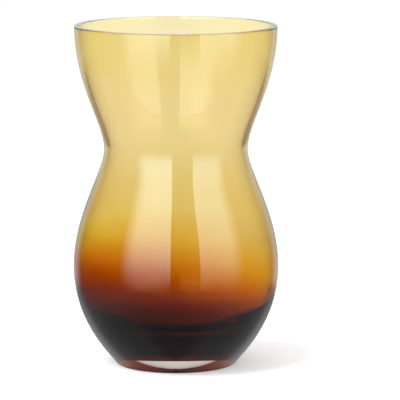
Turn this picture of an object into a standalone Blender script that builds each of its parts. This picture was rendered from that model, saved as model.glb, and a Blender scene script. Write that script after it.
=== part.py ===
"""Waisted glass vase, blown in three nested layers.

A clear casing is the whole outside. A burgundy overlay is cupped in the lower bulb
and feathers out up the wall. An amber lining runs from the floor to the rim.
Units are metres. The origin is the centre of the foot and +Z is up.
"""

import bpy
from math import cos, pi, radians, sin
from mathutils import Vector
from mathutils.geometry import interpolate_bezier

# Outside shape.
HEIGHT = 0.160
RIM_RADIUS = 0.0475
WAIST_RADIUS = 0.0338
WAIST_HEIGHT = 0.102
BELLY_RADIUS = 0.0484
BELLY_HEIGHT = 0.046
FOOT_RADIUS = 0.0275
FOOT_ROUNDING = 0.0015
WALL_ANGLE_AT_FOOT = radians(58.0)

# Reach of the curve handles, from each station towards the next.
FOOT_UP = 0.0042
BELLY_DOWN = 0.0262
BELLY_UP = 0.0250
WAIST_DOWN = 0.0108
WAIST_UP = 0.0122
RIM_DOWN = 0.0284

# The ground recess under the foot.
RECESS_RADIUS = 0.0225
RECESS_DEPTH = 0.0012

# The layers, measured horizontally in from the outside of the wall.
CASING_WALL = 0.0013
OVERLAY_WALL = 0.0009
OVERLAY_EDGE_WALL = 0.0003
WALL = 0.0027
BELLY_WALL = 0.0034
GAP = 0.0003

# The tops of the layers' floors on the axis, measured up from the resting plane. The
# clear glass is thick there and lifts the coloured bowls off the foot.
CASING_FLOOR = 0.0132
OVERLAY_FLOOR = 0.0149
CAVITY_FLOOR = 0.0165

# Where the overlay thins out, and where the lining has closed in above it.
OVERLAY_TOP = 0.074
LINING_CLOSED = 0.086

# The lips: the casing is the higher, and each is rounded by its own radius. The wall
# lines stop short of a lip by the clearance.
LIP_ROUNDING = 0.0006
LINING_LIP_ROUNDING = 0.0004
LINING_LIP_DROP = 0.0006
LIP_CLEARANCE = 0.0012

# Fineness of the turned surfaces.
TURN_STEPS = 48
BOWL_POINTS = 9
SIDE_POINTS = 8
FLARE_POINTS = 8
ROUNDING_POINTS = 4
RECESS_POINTS = 3
MERGE_DISTANCE = 0.00001

# How far the bowls inside the bulb run flat along their floor and upright along their
# wall, as shares of their radius and depth. A quarter ellipse would have 0.55 for both.
FLOOR_FULLNESS = 0.75
WALL_FULLNESS = 0.82


def point(radius, height):
    """A point of an outline, in the plane through the axis and +X."""
    return Vector((radius, 0.0, height))


def arc(centre, radius, start, end, points):
    """Points along a circular arc between two angles, both ends included."""
    turns = [start + (end - start) * step / (points - 1) for step in range(points)]
    return [centre + radius * point(cos(turn), sin(turn)) for turn in turns]


def smooth_step(value, low, high):
    """0 below low, 1 above high and a smooth rise between them."""
    share = min(max((value - low) / (high - low), 0.0), 1.0)
    return share * share * (3.0 - 2.0 * share)


def foot_edge():
    """The rounded edge of the foot, from the resting ring out to the wall."""
    centre = point(FOOT_RADIUS, FOOT_ROUNDING)
    return arc(centre, FOOT_ROUNDING, -pi / 2, WALL_ANGLE_AT_FOOT - pi / 2, ROUNDING_POINTS)


def outer_bowl():
    """The outside of the lower bulb, from the edge of the foot up to the belly."""
    start = foot_edge()[-1]
    up_the_wall = point(cos(WALL_ANGLE_AT_FOOT), sin(WALL_ANGLE_AT_FOOT))
    belly = point(BELLY_RADIUS, BELLY_HEIGHT)
    return interpolate_bezier(
        start, start + up_the_wall * FOOT_UP, belly - point(0, BELLY_DOWN), belly, BOWL_POINTS
    )


def outer_side():
    """The outside from the belly up through the waist to the rim."""
    belly = point(BELLY_RADIUS, BELLY_HEIGHT)
    waist = point(WAIST_RADIUS, WAIST_HEIGHT)
    rim = point(RIM_RADIUS, HEIGHT)
    lower = interpolate_bezier(
        belly, belly + point(0, BELLY_UP), waist - point(0, WAIST_DOWN), waist, SIDE_POINTS
    )
    upper = interpolate_bezier(
        waist, waist + point(0, WAIST_UP), rim - point(0, RIM_DOWN), rim, FLARE_POINTS
    )
    return lower + upper[1:]


def inner_bowl(floor, inset):
    """A bowl inside the bulb, from its floor on the axis out to the belly."""
    radius = BELLY_RADIUS - inset
    reach = point(radius * FLOOR_FULLNESS, 0)
    rise = point(0, (BELLY_HEIGHT - floor) * WALL_FULLNESS)
    bottom = point(0, floor)
    belly = point(radius, BELLY_HEIGHT)
    return interpolate_bezier(bottom, bottom + reach, belly - rise, belly, BOWL_POINTS)


def inner_side(inset_at, top):
    """The outside line above the belly, set in by inset_at(height), up to top."""
    line = [p for p in outer_side()[1:] if p.z < top - LIP_CLEARANCE]
    return [point(p.x - inset_at(p.z), p.z) for p in line]


def casing_inset(height):
    """Inside of the clear casing."""
    return CASING_WALL


def overlay_thickness(height):
    """The overlay is full at the belly and feathers out towards its top edge."""
    fade = smooth_step(height, BELLY_HEIGHT, OVERLAY_TOP)
    return OVERLAY_WALL + (OVERLAY_EDGE_WALL - OVERLAY_WALL) * fade


def overlay_inset(height):
    """Inside of the burgundy overlay."""
    return CASING_WALL + GAP + overlay_thickness(height)


def lining_inset(height):
    """Outside of the amber lining, which closes up to the casing over the overlay."""
    over_overlay = overlay_thickness(height) + GAP
    closing = smooth_step(height, OVERLAY_TOP, LINING_CLOSED)
    return CASING_WALL + GAP + over_overlay * (1.0 - closing)


def cavity_inset(height):
    """Inside of the amber lining, the wall being thicker at the belly."""
    thinning = smooth_step(height, BELLY_HEIGHT, WAIST_HEIGHT)
    return BELLY_WALL + (WALL - BELLY_WALL) * thinning


def lip(inner_radius, outer_radius, top, rounding):
    """A rounded top edge, from its inner side over to its outer side."""
    height = top - rounding
    inner = arc(point(inner_radius + rounding, height), rounding, pi, pi / 2, ROUNDING_POINTS)
    outer = arc(point(outer_radius - rounding, height), rounding, pi / 2, 0, ROUNDING_POINTS)
    return inner + outer


def recess():
    """The shallow recess under the foot, from the inner edge of the resting ring to the axis."""
    turns = [pi / 2 * step / RECESS_POINTS for step in range(RECESS_POINTS)]
    dome = [point(RECESS_RADIUS * cos(turn), RECESS_DEPTH * sin(turn)) for turn in turns]
    return dome + [point(0, RECESS_DEPTH)]


def casing_outline():
    """Up the inside of the clear casing, over its lip and down the outside."""
    outside = outer_bowl() + outer_side()[1:-1]
    inside = inner_bowl(CASING_FLOOR, CASING_WALL) + inner_side(casing_inset, HEIGHT)
    edge = lip(RIM_RADIUS - CASING_WALL, RIM_RADIUS, HEIGHT, LIP_ROUNDING)
    return inside + edge + outside[::-1] + foot_edge()[-2::-1] + recess()


def overlay_outline():
    """Up the inside of the burgundy overlay and down its outside."""
    top = OVERLAY_TOP
    inside = inner_bowl(OVERLAY_FLOOR, overlay_inset(BELLY_HEIGHT))
    inside += inner_side(overlay_inset, top)
    outside = inner_bowl(CASING_FLOOR + GAP, CASING_WALL + GAP)
    outside += inner_side(lambda height: CASING_WALL + GAP, top)
    return inside + outside[::-1]


def lining_outline():
    """Up the inside of the amber lining, over its lip and down its outside."""
    top = HEIGHT - LINING_LIP_DROP
    inside = inner_bowl(CAVITY_FLOOR, BELLY_WALL) + inner_side(cavity_inset, top)
    outside = inner_bowl(OVERLAY_FLOOR + GAP, lining_inset(BELLY_HEIGHT))
    outside += inner_side(lining_inset, top)
    edge = lip(RIM_RADIUS - WALL, RIM_RADIUS - CASING_WALL - GAP, top, LINING_LIP_ROUNDING)
    return inside + edge + outside[::-1]


def glass(name, colour, roughness):
    """A transmissive glass material."""
    material = bpy.data.materials.new(name)
    material.use_nodes = True
    shader = material.node_tree.nodes["Principled BSDF"]
    shader.inputs["Base Color"].default_value = (*colour, 1.0)
    shader.inputs["Roughness"].default_value = roughness
    shader.inputs["Transmission Weight"].default_value = 1.0
    shader.inputs["IOR"].default_value = 1.5
    material.diffuse_color = (*colour, 1.0)
    return material


def turned(name, outline, material, collection):
    """An object made by turning an outline about the Z axis."""
    mesh = bpy.data.meshes.new(name)
    edges = [(index, index + 1) for index in range(len(outline) - 1)]
    mesh.from_pydata(outline, edges, [])
    mesh.materials.append(material)
    piece = bpy.data.objects.new(name, mesh)
    collection.objects.link(piece)
    screw = piece.modifiers.new("turn", "SCREW")
    screw.axis = "Z"
    screw.angle = 2 * pi
    screw.steps = TURN_STEPS
    screw.render_steps = TURN_STEPS
    screw.use_merge_vertices = True
    screw.merge_threshold = MERGE_DISTANCE
    screw.use_smooth_shade = True
    return piece


def main():
    for existing in list(bpy.data.objects):
        bpy.data.objects.remove(existing)
    vase = bpy.data.collections.new("waisted_glass_vase")
    bpy.context.scene.collection.children.link(vase)
    clear = glass("clear_glass", (0.93, 0.95, 0.93), 0.02)
    burgundy = glass("burgundy_glass", (0.10, 0.02, 0.03), 0.02)
    amber = glass("amber_glass", (0.85, 0.60, 0.16), 0.02)
    turned("clear_casing", casing_outline(), clear, vase)
    turned("burgundy_overlay", overlay_outline(), burgundy, vase)
    turned("amber_lining", lining_outline(), amber, vase)


main()
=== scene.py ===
"""Looks of the waisted glass vase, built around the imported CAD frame.

The vase is blown from three gathers fused into one wall: clear glass outside, a
burgundy overlay cupped in the lower bulb, and an amber lining. Each gather is one
closed piece. Its faces against air bend light as glass does. Its faces against the
next gather have an index of 1, because fused glass has no surface there. The colours
sit on the fused faces and go by height. Units are metres, and +Z is up.
"""

from math import cos, exp, pi, radians, sin, tan

import bpy
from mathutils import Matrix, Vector
from mathutils.geometry import interpolate_bezier


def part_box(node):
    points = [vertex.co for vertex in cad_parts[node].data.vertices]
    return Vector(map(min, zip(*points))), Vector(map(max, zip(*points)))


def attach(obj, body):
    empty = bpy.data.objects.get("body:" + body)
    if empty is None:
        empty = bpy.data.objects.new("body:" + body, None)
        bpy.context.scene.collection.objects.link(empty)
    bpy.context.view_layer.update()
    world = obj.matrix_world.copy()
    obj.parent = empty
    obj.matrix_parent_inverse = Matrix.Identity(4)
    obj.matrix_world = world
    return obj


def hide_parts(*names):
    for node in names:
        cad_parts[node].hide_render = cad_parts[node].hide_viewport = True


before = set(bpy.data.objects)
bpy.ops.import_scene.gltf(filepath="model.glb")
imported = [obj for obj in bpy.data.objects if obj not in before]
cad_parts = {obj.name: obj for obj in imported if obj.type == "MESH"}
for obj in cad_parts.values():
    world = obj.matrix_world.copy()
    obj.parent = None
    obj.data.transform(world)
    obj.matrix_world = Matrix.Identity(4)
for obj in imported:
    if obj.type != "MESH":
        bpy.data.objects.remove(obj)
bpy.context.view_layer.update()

# Outside shape. The height and the largest radius come from the frame.
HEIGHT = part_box("clear_casing")[1].z
BELLY_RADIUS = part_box("clear_casing")[1].x
BELLY_HEIGHT = 0.046
RIM_RADIUS = 0.0475
WAIST_RADIUS = 0.0338
WAIST_HEIGHT = 0.102
FOOT_RADIUS = 0.0275
FOOT_ROUNDING = 0.0015
WALL_ANGLE_AT_FOOT = radians(58.0)

# Reach of the curve handles, from each station towards the next.
FOOT_UP = 0.0042
BELLY_DOWN = 0.0262
BELLY_UP = 0.0250
WAIST_DOWN = 0.0108
WAIST_UP = 0.0122
RIM_DOWN = 0.0284

# The ground recess under the foot.
RECESS_RADIUS = 0.0225
RECESS_DEPTH = 0.0012

# The gathers, measured horizontally in from the outside of the wall.
CASING_WALL = 0.0014
OVERLAY_WALL = 0.0010
OVERLAY_EDGE_WALL = 0.00006
WALL = 0.0027
BELLY_WALL = 0.0034
SEAM = 0.00002

# The tops of the gathers' floors on the axis, measured up from the resting plane.
CASING_FLOOR = 0.0132
OVERLAY_FLOOR = 0.0149
CAVITY_FLOOR = 0.0164

# Where the overlay ends, how far above it the lining has closed in, and the lips.
OVERLAY_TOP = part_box("burgundy_overlay")[1].z
LINING_CLOSING = 0.010
LIP_ROUNDING = 0.0005
LIP_TOP = HEIGHT - LIP_ROUNDING

# How far the bowls inside the bulb run flat along their floor and upright along their
# wall, as shares of their radius and depth.
FLOOR_FULLNESS = 0.75
WALL_FULLNESS = 0.82

# Fineness of the turned surfaces. Points nearer the axis than AXIS_REACH are one point.
TURN_STEPS = 192
BOWL_POINTS = 40
SIDE_POINTS = 40
LIP_POINTS = 8
FOOT_POINTS = 10
RECESS_POINTS = 12
AXIS_REACH = 1e-7

# A band of faces is against air or against the next gather. These are also the places
# of the two materials on a piece.
AIR, FUSED = 0, 1
GLASS_INDEX = 1.5
FUSED_INDEX = 1.0

# Clouds in the glass, as noise, and the two tints of clear glass that they mix.
CLOUD_SCALE = 28.0
CLOUD_DETAIL = 2.0
CLOUD_RANGE = (0.3, 0.7)
CLEAR_TINTS = ((0.980, 0.990, 0.980), (0.990, 0.992, 0.986))
SEAM_TINTS = ((1.0, 1.0, 1.0), (0.998, 1.0, 0.998))

# The lip catches the amber of the lining, over these heights.
LIP_TINT = (0.80, 0.62, 0.46)
LIP_TINT_HEIGHTS = (LIP_TOP - 0.0004, LIP_TOP + 0.0002)

# Slow waves and fine turning rings in the surface, as bump heights.
WAVE_SCALE = 40.0
WAVE_HEIGHT = 0.00006
RING_SCALE = 520.0
RING_STRETCH = (0.03, 0.03, 1.0)
RING_HEIGHT = 0.0000015
SURFACE_DETAIL = 1.0

# The ground matt resting ring: its roughness, the heights over which it ends, the width
# of its inner edge, and its grain as noise values and the shares of roughness they give.
GROUND_ROUGHNESS = 0.35
GROUND_HEIGHTS = (0.0001, 0.0004)
GROUND_EDGE = 0.0002
GRAIN_SCALE = 2500.0
GRAIN_DETAIL = 2.0
GRAIN_RANGE = (0.2, 0.8)
GRAIN_SHARES = (0.6, 1.2)

# The colours lean with X. The lean grows from the foot over TILT_GROWS, and each colour
# is upright again above its own heights. Clouds and streaks stir the boundaries.
TILT_GROWS = (0.006, 0.042)
BURGUNDY_TILT = 0.21
BURGUNDY_UPRIGHT = (BELLY_HEIGHT, OVERLAY_TOP)
BURGUNDY_CLOUDS = 0.003
BURGUNDY_STREAKS = 0.0016
AMBER_TILT = 0.22
AMBER_UPRIGHT = (0.060, 0.100)
AMBER_CLOUDS = 0.004
AMBER_STREAKS = 0.002

# The burgundy's density for red light at its level, the height over which it falls to
# about a third, its limit, and where its fade to nothing starts. Green follows red but
# levels off, with more near the floor. Blue is in proportion to red.
BURGUNDY_RED = 0.085
BURGUNDY_LEVEL = 0.050
BURGUNDY_FALL = 0.0100
BURGUNDY_LIMIT = 3.4
BURGUNDY_FADES = 0.060
BURGUNDY_GREEN = 3.9
GREEN_LEVELLING = 0.75
FLOOR_GREEN = 3
FLOOR_GREEN_HEIGHTS = (0.014, 0.024)
BURGUNDY_BLUE = 6

# The amber's density for red, green and blue light in the low bulb, and the heights over
# which it changes to the next: full bulb, waist and rim.
AMBER_LOW = (0.115, 0.315, 1.75)
AMBER_CHANGES = (
    (0.048, 0.068, (0.112, 0.295, 0.975)),
    (0.072, 0.104, (0.078, 0.205, 0.655)),
    (0.118, 0.150, (0.068, 0.200, 0.750)),
)

# Colour ramps over height: how many stops, and each ramp's lowest stop and spacing.
RAMP_STOPS = 29
BURGUNDY_RAMP = (0.004, 0.0025)
AMBER_RAMP = (0.016, 0.005)

# The floor.
FLOOR_RADIUS = 6.0
FLOOR_SIDES = 64
FLOOR_DROP = 0.00005
FLOOR_COLOUR = (0.95, 0.95, 0.95, 1)
FLOOR_EMISSION = 0.17

# Soft lamps: name, width, height, watts, place and aim.
SOFT_LAMPS = (
    ("key", 0.8, 0.8, 17.0, (-0.75, -0.45, 1.25), (0, 0, 0.05)),
    ("fill", 0.8, 0.5, 6.5, (1.0, -0.35, 0.40), (0, 0, 0.02)),
)

# Standing softboxes: name, azimuth from the front and spread in degrees, radiance, and
# the shares of the width at which the box starts and is full.
SOFTBOXES = (
    ("left_softbox", -36, 60, 5.6, 0.0, 0.4),
    ("right_softbox", 54, 56, 4.0, 1.0, 0.6),
)

# Where the softboxes stand, and the heights at which they are full and start to dim.
# Light caught in the wall sees its own colour, heights and share of the brightness.
BOX_DISTANCE = 0.55
BOX_BOTTOM = -0.17
BOX_TOP = 1.4
BOX_FULL = 0.25
BOX_DIMMING = 0.60
BOX_COLOUR = (0.68, 0.90, 0.98)
INNER_COLOUR = (0.62, 0.80, 1.5)
INNER_BOTTOM = 0.15
INNER_FULL = 0.48
INNER_SHARE = 0.5

# Brightness of the white room: lighting the floor, behind the vase to the camera, and
# through the glass, where it falls off high up. Angles are in degrees.
ROOM = 0.80
BACKDROP = 1.1
THROUGH_GLASS = 1.10
THROUGH_HIGH = 0.68
HIGH_ELEVATIONS = (12, 34)

# The white turns warm below, for light caught in the wall, and a little high up.
WHITE = (1, 1, 1)
WARM = (1.0, 0.80, 0.55)
HIGH_WARMTH = 0.25

# Brightness of the studio that reflections see: dark all round, the background behind
# the vase and below it, a table, the floor's glow and a sky. Azimuths are measured from
# the front. TABLE holds the table's brightness at the front and at the sides.
DARK = 0.024
BEHIND = 0.68
BELOW = 0.20
BELOW_ELEVATIONS = (-16, -10)
BEHIND_AZIMUTHS = (130, 150)
BESIDE_AZIMUTHS = (15, 35)
TABLE = (0.26, 0.38)
TABLE_ELEVATIONS = (-29, -5)
TABLE_AZIMUTHS = (30, 70)
FLOOR_GLOW = 0.75
GLOW_ELEVATIONS = (-40, -30)
SKY = 1.0
SKY_ELEVATIONS = (3, 9)

# The camera, and how many times light may bounce.
CAMERA_LENS = 269.0
CAMERA_CLIP = (0.05, 50.0)
CAMERA_PLACE = (0.0, -1.391, 0.2887)
CAMERA_TARGET = (0.0113, 0.0, 0.0774)
BOUNCES = 24
GLOSSY_BOUNCES = 12


# The outlines of the three gathers, as in the CAD but finer and with closed seams.

def point(radius, height):
    """A point of an outline, in the plane through the axis and +X."""
    return Vector((radius, 0.0, height))


def arc(centre, radius, start, end, points):
    """Points along a circular arc between two angles, both ends included."""
    turns = [start + (end - start) * step / (points - 1) for step in range(points)]
    return [centre + radius * point(cos(turn), sin(turn)) for turn in turns]


def smooth_step(value, low, high):
    """0 below low, 1 above high and a smooth rise between them."""
    share = min(max((value - low) / (high - low), 0.0), 1.0)
    return share * share * (3.0 - 2.0 * share)


def foot_edge():
    """The rounded edge of the foot, from the resting ring out to the wall."""
    centre = point(FOOT_RADIUS, FOOT_ROUNDING)
    return arc(centre, FOOT_ROUNDING, -pi / 2, WALL_ANGLE_AT_FOOT - pi / 2, FOOT_POINTS)


def outer_bowl():
    """The outside of the lower bulb, from the edge of the foot up to the belly."""
    start = foot_edge()[-1]
    up_the_wall = point(cos(WALL_ANGLE_AT_FOOT), sin(WALL_ANGLE_AT_FOOT))
    belly = point(BELLY_RADIUS, BELLY_HEIGHT)
    return interpolate_bezier(
        start, start + up_the_wall * FOOT_UP, belly - point(0, BELLY_DOWN), belly, BOWL_POINTS
    )


def outer_side():
    """The outside from the belly up through the waist to the rim."""
    belly = point(BELLY_RADIUS, BELLY_HEIGHT)
    waist = point(WAIST_RADIUS, WAIST_HEIGHT)
    rim = point(RIM_RADIUS, HEIGHT)
    lower = interpolate_bezier(
        belly, belly + point(0, BELLY_UP), waist - point(0, WAIST_DOWN), waist, SIDE_POINTS
    )
    upper = interpolate_bezier(
        waist, waist + point(0, WAIST_UP), rim - point(0, RIM_DOWN), rim, SIDE_POINTS
    )
    return lower + upper[1:]


def inner_bowl(floor, inset):
    """A bowl inside the bulb, from its floor on the axis out to the belly."""
    radius = BELLY_RADIUS - inset
    reach = point(radius * FLOOR_FULLNESS, 0)
    rise = point(0, (BELLY_HEIGHT - floor) * WALL_FULLNESS)
    bottom = point(0, floor)
    belly = point(radius, BELLY_HEIGHT)
    return interpolate_bezier(bottom, bottom + reach, belly - rise, belly, BOWL_POINTS)


def inner_side(inset_at, top):
    """The outside line above the belly, set in by inset_at(height), up to top."""
    line = [p for p in outer_side()[1:] if p.z < top]
    return [point(p.x - inset_at(p.z), p.z) for p in line]


def overlay_thickness(height):
    """The overlay is full at the belly and feathers out towards its top edge."""
    fade = smooth_step(height, BELLY_HEIGHT, OVERLAY_TOP)
    return OVERLAY_WALL + (OVERLAY_EDGE_WALL - OVERLAY_WALL) * fade


def overlay_inset(height):
    """Inside of the burgundy overlay."""
    return CASING_WALL + SEAM + overlay_thickness(height)


def lining_inset(height):
    """Outside of the amber lining, which closes up to the casing over the overlay."""
    closing = smooth_step(height, OVERLAY_TOP, OVERLAY_TOP + LINING_CLOSING)
    return CASING_WALL + SEAM + (overlay_thickness(height) + SEAM) * (1.0 - closing)


def cavity_inset(height):
    """Inside of the amber lining, the wall being thicker at the belly."""
    thinning = smooth_step(height, BELLY_HEIGHT, WAIST_HEIGHT)
    return BELLY_WALL + (WALL - BELLY_WALL) * thinning


def casing_outline():
    """Up the inside of the clear casing, over its lip, down the outside and under."""
    outside = outer_bowl() + [p for p in outer_side()[1:] if p.z < LIP_TOP]
    inside = inner_bowl(CASING_FLOOR, CASING_WALL)
    inside += inner_side(lambda height: CASING_WALL, LIP_TOP)
    inside.append(point(RIM_RADIUS - CASING_WALL, HEIGHT))
    lip = arc(point(RIM_RADIUS - LIP_ROUNDING, LIP_TOP), LIP_ROUNDING, pi / 2, 0, LIP_POINTS)
    turns = [pi / 2 * step / RECESS_POINTS for step in range(1, RECESS_POINTS + 1)]
    recess = [point(RECESS_RADIUS * cos(turn), RECESS_DEPTH * sin(turn)) for turn in turns]
    recess[-1].x = 0.0
    under = [point(RECESS_RADIUS, 0)] + recess
    air = lip + outside[::-1] + foot_edge()[-2::-1] + under
    return inside + air, [FUSED] * (len(inside) - 1) + [AIR] * len(air)


def overlay_outline():
    """Up the inside of the burgundy overlay and down its outside."""
    inside = inner_bowl(OVERLAY_FLOOR, overlay_inset(BELLY_HEIGHT))
    inside += inner_side(overlay_inset, OVERLAY_TOP)
    outside = inner_bowl(CASING_FLOOR + SEAM, CASING_WALL + SEAM)
    outside += inner_side(lambda height: CASING_WALL + SEAM, OVERLAY_TOP)
    outline = inside + outside[::-1]
    return outline, [FUSED] * (len(outline) - 1)


def lining_outline():
    """Up the inside of the amber lining, over its lip and down its outside."""
    inside = inner_bowl(CAVITY_FLOOR, BELLY_WALL) + inner_side(cavity_inset, LIP_TOP)
    centre = point(RIM_RADIUS - WALL + LIP_ROUNDING, LIP_TOP)
    lip = arc(centre, LIP_ROUNDING, pi, pi / 2, LIP_POINTS)
    outside = inner_bowl(OVERLAY_FLOOR + SEAM, lining_inset(BELLY_HEIGHT))
    outside += inner_side(lining_inset, LIP_TOP)
    outside.append(point(RIM_RADIUS - CASING_WALL - SEAM, HEIGHT))
    air = inside + lip
    return air + outside[::-1], [AIR] * len(air) + [FUSED] * (len(outside) - 1)


def turned(name, outline, kinds, materials):
    """A closed piece turned about Z. kinds gives the material index of each band."""
    vertices, rings, faces, slots = [], [], [], []
    for p in outline:
        if p.x < AXIS_REACH:
            rings.append([len(vertices)] * TURN_STEPS)
            vertices.append((0.0, 0.0, p.z))
            continue
        rings.append(list(range(len(vertices), len(vertices) + TURN_STEPS)))
        for step in range(TURN_STEPS):
            turn = 2 * pi * step / TURN_STEPS
            vertices.append((p.x * cos(turn), p.x * sin(turn), p.z))
    for upper, lower, kind in zip(rings, rings[1:], kinds):
        for step in range(TURN_STEPS):
            after = (step + 1) % TURN_STEPS
            corners = [upper[step], lower[step], lower[after], upper[after]]
            faces.append(list(dict.fromkeys(corners)))
            slots.append(kind)
    mesh = bpy.data.meshes.new(name)
    mesh.from_pydata(vertices, [], faces)
    mesh.polygons.foreach_set("material_index", slots)
    for material in materials:
        mesh.materials.append(material)
    mesh.shade_smooth()
    mesh.update()
    piece = bpy.data.objects.new(name, mesh)
    bpy.context.scene.collection.objects.link(piece)
    return piece


# Node helpers. Each adds nodes to a tree and gives what they put out.

def maths(tree, operation, *values):
    """A math node over numbers or sockets."""
    node = tree.nodes.new("ShaderNodeMath")
    node.operation = operation
    for socket, value in zip(node.inputs, values):
        if isinstance(value, (int, float)):
            socket.default_value = value
        else:
            tree.links.new(value, socket)
    return node.outputs[0]


def ease(tree, value, low, high, start=0.0, end=1.0):
    """A smooth change from start to end as value goes from low to high."""
    node = tree.nodes.new("ShaderNodeMapRange")
    node.interpolation_type = "SMOOTHSTEP"
    node.inputs["From Min"].default_value = low
    node.inputs["From Max"].default_value = high
    node.inputs["To Min"].default_value = start
    node.inputs["To Max"].default_value = end
    tree.links.new(value, node.inputs["Value"])
    return node.outputs[0]


def ease_angle(tree, angle, low, high, start=0.0, end=1.0):
    """The same smooth change over an angle, with low and high in degrees."""
    return ease(tree, angle, radians(low), radians(high), start, end)


def any_of(tree, steps):
    """1 if a light path has taken one or more such steps, and 0 if not."""
    return maths(tree, "GREATER_THAN", steps, 0.5)


def blend(tree, share, first, second):
    """One colour, or colour socket, turning into another as share goes from 0 to 1."""
    node = tree.nodes.new("ShaderNodeMix")
    node.data_type = "RGBA"
    # The node has one set of sockets for each data type. 6, 7 and 2 are the colours.
    for socket, colour in zip(node.inputs[6:8], (first, second)):
        if isinstance(colour, tuple):
            socket.default_value = (*colour, 1.0)
        else:
            tree.links.new(colour, socket)
    tree.links.new(share, node.inputs["Factor"])
    return node.outputs[2]


def separate(tree, vector):
    """The X, Y and Z of a vector, as three sockets."""
    node = tree.nodes.new("ShaderNodeSeparateXYZ")
    tree.links.new(vector, node.inputs[0])
    return node.outputs


def object_place(tree):
    """The piece's own coordinates, in metres."""
    return tree.nodes.new("ShaderNodeTexCoord").outputs["Object"]


def noise(tree, scale, detail, stretch=(1, 1, 1)):
    """Cloudy noise around 0.5, over the piece's own coordinates."""
    mapping = tree.nodes.new("ShaderNodeMapping")
    mapping.inputs["Scale"].default_value = stretch
    texture = tree.nodes.new("ShaderNodeTexNoise")
    texture.inputs["Scale"].default_value = scale
    texture.inputs["Detail"].default_value = detail
    tree.links.new(object_place(tree), mapping.inputs["Vector"])
    tree.links.new(mapping.outputs["Vector"], texture.inputs["Vector"])
    return texture.outputs[0]


def cloud_noise(tree):
    """The clouds left in the glass by the gathering."""
    return noise(tree, CLOUD_SCALE, CLOUD_DETAIL)


def ring_noise(tree):
    """Fine rings round the axis, left by the turning."""
    return noise(tree, RING_SCALE, SURFACE_DETAIL, RING_STRETCH)


def ramp(tree, value, stops):
    """A colour ramp over value, by stops of (value, colour)."""
    low, high = stops[0][0], stops[-1][0]
    share = tree.nodes.new("ShaderNodeMapRange")
    share.inputs["From Min"].default_value = low
    share.inputs["From Max"].default_value = high
    node = tree.nodes.new("ShaderNodeValToRGB")
    elements = node.color_ramp.elements
    elements.remove(elements[-1])
    elements[0].color = (*stops[0][1], 1.0)
    for where, colour in stops[1:]:
        elements.new((where - low) / (high - low)).color = (*colour, 1.0)
    tree.links.new(value, share.inputs["Value"])
    tree.links.new(share.outputs[0], node.inputs["Fac"])
    return node.outputs["Color"]


# The glass.

def glass(name, index):
    """Clear glass with a refractive index; gives the material and its node tree."""
    material = bpy.data.materials.new(name)
    material.use_nodes = True
    shader = material.node_tree.nodes["Principled BSDF"]
    shader.inputs["Transmission Weight"].default_value = 1.0
    shader.inputs["Roughness"].default_value = 0.0
    shader.inputs["IOR"].default_value = index
    return material, material.node_tree


def tint(tree, colour):
    """Link a colour socket to the glass."""
    tree.links.new(colour, tree.nodes["Principled BSDF"].inputs["Base Color"])


def blown_surface(tree):
    """The slow waves and fine turning rings of hand-blown glass, as a bump."""
    waves = maths(tree, "MULTIPLY", noise(tree, WAVE_SCALE, SURFACE_DETAIL), WAVE_HEIGHT)
    height = maths(tree, "MULTIPLY_ADD", ring_noise(tree), RING_HEIGHT, waves)
    bump = tree.nodes.new("ShaderNodeBump")
    bump.inputs["Strength"].default_value = 1.0
    bump.inputs["Distance"].default_value = 1.0
    tree.links.new(height, bump.inputs["Height"])
    tree.links.new(bump.outputs["Normal"], tree.nodes["Principled BSDF"].inputs["Normal"])


def ground_ring(tree):
    """The resting ring under the foot is ground matt; the rest is fire polished."""
    x, y, z = separate(tree, object_place(tree))
    squares = maths(tree, "ADD", maths(tree, "MULTIPLY", x, x), maths(tree, "MULTIPLY", y, y))
    across = maths(tree, "SQRT", squares)
    outside = ease(tree, across, RECESS_RADIUS - GROUND_EDGE, RECESS_RADIUS)
    low = ease(tree, z, *GROUND_HEIGHTS, GROUND_ROUGHNESS, 0.0)
    rough = maths(tree, "MULTIPLY", outside, low)
    grain = ease(tree, noise(tree, GRAIN_SCALE, GRAIN_DETAIL), *GRAIN_RANGE, *GRAIN_SHARES)
    rough = maths(tree, "MULTIPLY", rough, grain)
    tree.links.new(rough, tree.nodes["Principled BSDF"].inputs["Roughness"])


def tint_level(tree, tilt, upright, clouds, streaks):
    """The height, leaning with X inside the bulb and stirred by clouds and streaks.

    upright holds the heights over which the lean dies out.
    """
    x, _, z = separate(tree, object_place(tree))
    lean = ease(tree, z, *upright, tilt, 0.0)
    lean = maths(tree, "MULTIPLY", lean, ease(tree, z, *TILT_GROWS))
    level = maths(tree, "MULTIPLY_ADD", x, lean, z)
    level = maths(tree, "MULTIPLY_ADD", cloud_noise(tree), clouds, level)
    level = maths(tree, "MULTIPLY_ADD", ring_noise(tree), streaks, level)
    return maths(tree, "SUBTRACT", level, (clouds + streaks) / 2)


def height_stops(colour_at, lowest, spacing):
    """Evenly spaced ramp stops over height."""
    heights = [lowest + spacing * step for step in range(RAMP_STOPS)]
    return [(height, colour_at(height)) for height in heights]


def burgundy_at(height):
    """Colour left by one crossing in and out of the overlay at a height."""
    fading = 1 - smooth_step(height, BURGUNDY_FADES, OVERLAY_TOP)
    deepening = exp((BURGUNDY_LEVEL - height) / BURGUNDY_FALL)
    red = min(BURGUNDY_RED * deepening * fading, BURGUNDY_LIMIT)
    green = BURGUNDY_GREEN * red / (1 + GREEN_LEVELLING * red)
    green += FLOOR_GREEN * (1 - smooth_step(height, *FLOOR_GREEN_HEIGHTS))
    return exp(-red), exp(-green), exp(-BURGUNDY_BLUE * red)


def amber_at(height):
    """Colour of the lining's fused face at a height. It carries the tint of both faces."""
    density = AMBER_LOW
    for low, high, changed in AMBER_CHANGES:
        share = smooth_step(height, low, high)
        density = [a + (b - a) * share for a, b in zip(density, changed)]
    return [exp(-2 * value) for value in density]


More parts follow.
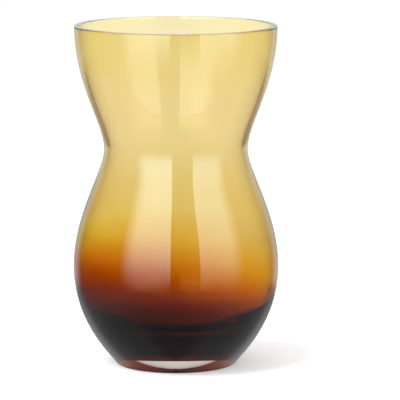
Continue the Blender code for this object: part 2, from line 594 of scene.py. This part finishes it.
def clear_surface():
    """The clear casing's outside: blown, ground under the foot, and tinted at the lip."""
    material, tree = glass("clear_glass_surface", GLASS_INDEX)
    lip = ease(tree, separate(tree, object_place(tree))["Z"], *LIP_TINT_HEIGHTS)
    clear = ramp(tree, cloud_noise(tree), list(zip(CLOUD_RANGE, CLEAR_TINTS)))
    tint(tree, blend(tree, lip, clear, LIP_TINT))
    blown_surface(tree)
    ground_ring(tree)
    return material


def clear_seam():
    """The clear casing's fused face, all but colourless."""
    material, tree = glass("clear_glass_seam", FUSED_INDEX)
    tint(tree, ramp(tree, cloud_noise(tree), list(zip(CLOUD_RANGE, SEAM_TINTS))))
    return material


def burgundy_glass():
    """The overlay, near black in the base and fading out up the wall."""
    material, tree = glass("burgundy_glass", FUSED_INDEX)
    level = tint_level(
        tree, BURGUNDY_TILT, BURGUNDY_UPRIGHT, BURGUNDY_CLOUDS, BURGUNDY_STREAKS
    )
    tint(tree, ramp(tree, level, height_stops(burgundy_at, *BURGUNDY_RAMP)))
    return material


def amber_surface():
    """The lining's inside, where the cavity is."""
    material, tree = glass("amber_glass_surface", GLASS_INDEX)
    tint(tree, ramp(tree, cloud_noise(tree), list(zip(CLOUD_RANGE, CLEAR_TINTS))))
    blown_surface(tree)
    return material


def amber_seam():
    """The lining's fused face, which carries its colour."""
    material, tree = glass("amber_glass_seam", FUSED_INDEX)
    level = tint_level(tree, AMBER_TILT, AMBER_UPRIGHT, AMBER_CLOUDS, AMBER_STREAKS)
    tint(tree, ramp(tree, level, height_stops(amber_at, *AMBER_RAMP)))
    return material


clear_air, clear_fused = clear_surface(), clear_seam()
burgundy = burgundy_glass()
amber_air, amber_fused = amber_surface(), amber_seam()

# The overlay has no face against air. Its first material only holds the place.
casing = turned("clear_casing_glass", *casing_outline(), [clear_air, clear_fused])
overlay = turned("burgundy_overlay_glass", *overlay_outline(), [clear_air, burgundy])
lining = turned("amber_lining_glass", *lining_outline(), [amber_air, amber_fused])
for piece, node, slot in (
    (casing, "clear_casing", "clear_glass"),
    (overlay, "burgundy_overlay", "burgundy_glass"),
    (lining, "amber_lining", "amber_glass"),
):
    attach(piece, "root")
    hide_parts(node)
casing.visible_shadow = False
lining.visible_shadow = False


# The floor, the lamps, the world and the camera.

def pale_floor():
    """A plain pale floor, unseen in the glass."""
    bpy.ops.mesh.primitive_circle_add(
        vertices=FLOOR_SIDES, radius=FLOOR_RADIUS, fill_type="NGON", location=(0, 0, -FLOOR_DROP)
    )
    ground = bpy.context.object
    ground.name = "floor"
    white = bpy.data.materials.new("floor_white")
    white.use_nodes = True
    shader = white.node_tree.nodes["Principled BSDF"]
    shader.inputs["Base Color"].default_value = FLOOR_COLOUR
    shader.inputs["Emission Color"].default_value = (1, 1, 1, 1)
    shader.inputs["Emission Strength"].default_value = FLOOR_EMISSION
    shader.inputs["Roughness"].default_value = 1.0
    shader.inputs["Specular IOR Level"].default_value = 0.0
    ground.data.materials.append(white)
    ground.visible_glossy = False
    ground.visible_transmission = False
    return ground


floor = pale_floor()


def area_lamp(name, width, height, energy, location, towards):
    """An area lamp facing a point; gives the object and its lamp data."""
    lamp = bpy.data.lights.new(name, "AREA")
    lamp.shape = "RECTANGLE"
    lamp.size = width
    lamp.size_y = height
    lamp.energy = energy
    holder = bpy.data.objects.new(name, lamp)
    bpy.context.scene.collection.objects.link(holder)
    holder.location = location
    facing = Vector(towards) - Vector(location)
    holder.rotation_euler = facing.to_track_quat("-Z", "Y").to_euler()
    holder.visible_camera = False
    return holder, lamp


def soft_lamp(name, width, height, energy, location, towards):
    """Soft light on the floor, unseen in the glass."""
    holder, _ = area_lamp(name, width, height, energy, location, towards)
    holder.visible_glossy = False
    holder.visible_transmission = False


def softbox(name, azimuth, spread, radiance, outer_side, inner_side):
    """A standing softbox in front of the vase, dimming towards its ends and outer side.

    It is seen only as a reflection in the glass.
    """
    width = 2 * BOX_DISTANCE * tan(spread / 2)
    height = BOX_TOP - BOX_BOTTOM
    middle = (BOX_TOP + BOX_BOTTOM) / 2
    location = (BOX_DISTANCE * sin(azimuth), -BOX_DISTANCE * cos(azimuth), middle)
    energy = radiance * pi * width * height
    holder, lamp = area_lamp(name, width, height, energy, location, (0, 0, middle))
    holder.visible_diffuse = False
    lamp.use_nodes = True
    tree = lamp.node_tree
    place = tree.nodes.new("ShaderNodeNewGeometry").outputs["Parametric"]
    path = tree.nodes.new("ShaderNodeLightPath").outputs
    across, up, _ = separate(tree, place)
    full, dimming, inner_bottom, inner_full = [
        (level - BOX_BOTTOM) / height
        for level in (BOX_FULL, BOX_DIMMING, INNER_BOTTOM, INNER_FULL)
    ]
    side = ease(tree, across, outer_side, inner_side)
    top = ease(tree, up, dimming, 1.0, 1.0, 0.0)
    outer = ease(tree, up, 0.0, full)
    inner = ease(tree, up, inner_bottom, inner_full, 0.0, INNER_SHARE)
    inside = any_of(tree, path["Transmission Depth"])
    outside = maths(tree, "SUBTRACT", 1.0, inside)
    bottom = maths(tree, "MULTIPLY_ADD", inner, inside, maths(tree, "MULTIPLY", outer, outside))
    bounced = any_of(tree, path["Glossy Depth"])
    shown = maths(tree, "MULTIPLY", maths(tree, "MULTIPLY", side, top), bottom)
    emission = tree.nodes["Emission"]
    tree.links.new(blend(tree, inside, BOX_COLOUR, INNER_COLOUR), emission.inputs["Color"])
    tree.links.new(maths(tree, "MULTIPLY", shown, bounced), emission.inputs["Strength"])


for settings in SOFT_LAMPS:
    soft_lamp(*settings)
for name, azimuth, spread, radiance, outer_side, inner_side in SOFTBOXES:
    softbox(name, radians(azimuth), radians(spread), radiance, outer_side, inner_side)


def studio_level(tree, azimuth, elevation, inside):
    """Brightness of the studio in a reflection.

    It is dark, with a bright background behind the vase, bright sides for the light
    caught in the wall, a table below, and a sky that only outer reflections see.
    """
    level = ease_angle(tree, elevation, *BELOW_ELEVATIONS, BELOW, BEHIND)
    behind = ease_angle(tree, azimuth, *BEHIND_AZIMUTHS)
    beside = ease_angle(tree, azimuth, *BESIDE_AZIMUTHS)
    lit = maths(tree, "MAXIMUM", behind, maths(tree, "MULTIPLY", beside, inside))
    table = ease_angle(tree, elevation, *TABLE_ELEVATIONS, 1.0, 0.0)
    table_sides = ease_angle(tree, azimuth, *TABLE_AZIMUTHS, *TABLE)
    table = maths(tree, "MULTIPLY", table, table_sides)
    glow = ease_angle(tree, elevation, *GLOW_ELEVATIONS, FLOOR_GLOW, 0.0)
    table = maths(tree, "MAXIMUM", table, maths(tree, "MULTIPLY", glow, inside))
    sky = ease_angle(tree, elevation, *SKY_ELEVATIONS, 0.0, SKY)
    sky = maths(tree, "MULTIPLY", behind, sky)
    sky = maths(tree, "MULTIPLY", sky, maths(tree, "SUBTRACT", 1.0, inside))
    studio = maths(tree, "MULTIPLY_ADD", lit, level, maths(tree, "ADD", table, DARK))
    return maths(tree, "ADD", studio, sky)


def room_level(tree, high, path):
    """Brightness of the white room for all but reflections."""
    seen = ease(tree, high, 0.0, 1.0, THROUGH_GLASS - ROOM, THROUGH_HIGH - ROOM)
    room = maths(tree, "MULTIPLY_ADD", path["Is Transmission Ray"], seen, ROOM)
    return maths(tree, "MULTIPLY_ADD", path["Is Camera Ray"], BACKDROP - ROOM, room)


def warm_share(tree, elevation, high, path, bounced, inside):
    """How warm the white is: low down for light caught in the wall, and high up."""
    low = ease_angle(tree, elevation, *BELOW_ELEVATIONS, 1.0, 0.0)
    low = maths(tree, "MULTIPLY", low, maths(tree, "MULTIPLY", bounced, inside))
    high = maths(tree, "MULTIPLY", high, maths(tree, "SUBTRACT", 1.0, bounced))
    high = maths(tree, "MULTIPLY", high, path["Is Transmission Ray"])
    return maths(tree, "ADD", low, maths(tree, "MULTIPLY", high, HIGH_WARMTH))


def studio_world():
    """A white room, seen directly and through the glass, and a studio in reflections."""
    world = bpy.data.worlds.new("studio")
    bpy.context.scene.world = world
    world.use_nodes = True
    tree = world.node_tree
    tree.nodes.clear()
    direction = tree.nodes.new("ShaderNodeTexCoord").outputs["Generated"]
    path = tree.nodes.new("ShaderNodeLightPath").outputs
    x, y, z = separate(tree, direction)
    front = maths(tree, "MULTIPLY", y, -1.0)
    azimuth = maths(tree, "ABSOLUTE", maths(tree, "ARCTAN2", x, front))
    elevation = maths(tree, "ARCSINE", z)
    high = ease_angle(tree, elevation, *HIGH_ELEVATIONS)
    inside = any_of(tree, path["Transmission Depth"])
    bounced = any_of(tree, path["Glossy Depth"])
    studio = studio_level(tree, azimuth, elevation, inside)
    room = room_level(tree, high, path)
    change = maths(tree, "SUBTRACT", studio, room)
    strength = maths(tree, "MULTIPLY_ADD", bounced, change, room)
    warmth = warm_share(tree, elevation, high, path, bounced, inside)
    background = tree.nodes.new("ShaderNodeBackground")
    tree.links.new(strength, background.inputs["Strength"])
    tree.links.new(blend(tree, warmth, WHITE, WARM), background.inputs["Color"])
    output = tree.nodes.new("ShaderNodeOutputWorld")
    tree.links.new(background.outputs[0], output.inputs[0])


def photo_camera():
    """The camera at the photograph's angle, and enough bounces for the nested glass."""
    lens = bpy.data.cameras.new("camera")
    lens.lens = CAMERA_LENS
    lens.clip_start, lens.clip_end = CAMERA_CLIP
    camera = bpy.data.objects.new("camera", lens)
    scene = bpy.context.scene
    scene.collection.objects.link(camera)
    camera.location = CAMERA_PLACE
    facing = Vector(CAMERA_TARGET) - camera.location
    camera.rotation_euler = facing.to_track_quat("-Z", "Y").to_euler()
    scene.camera = camera
    scene.view_settings.view_transform = "Standard"
    scene.cycles.max_bounces = BOUNCES
    scene.cycles.transmission_bounces = BOUNCES
    scene.cycles.glossy_bounces = GLOSSY_BOUNCES


studio_world()
photo_camera()
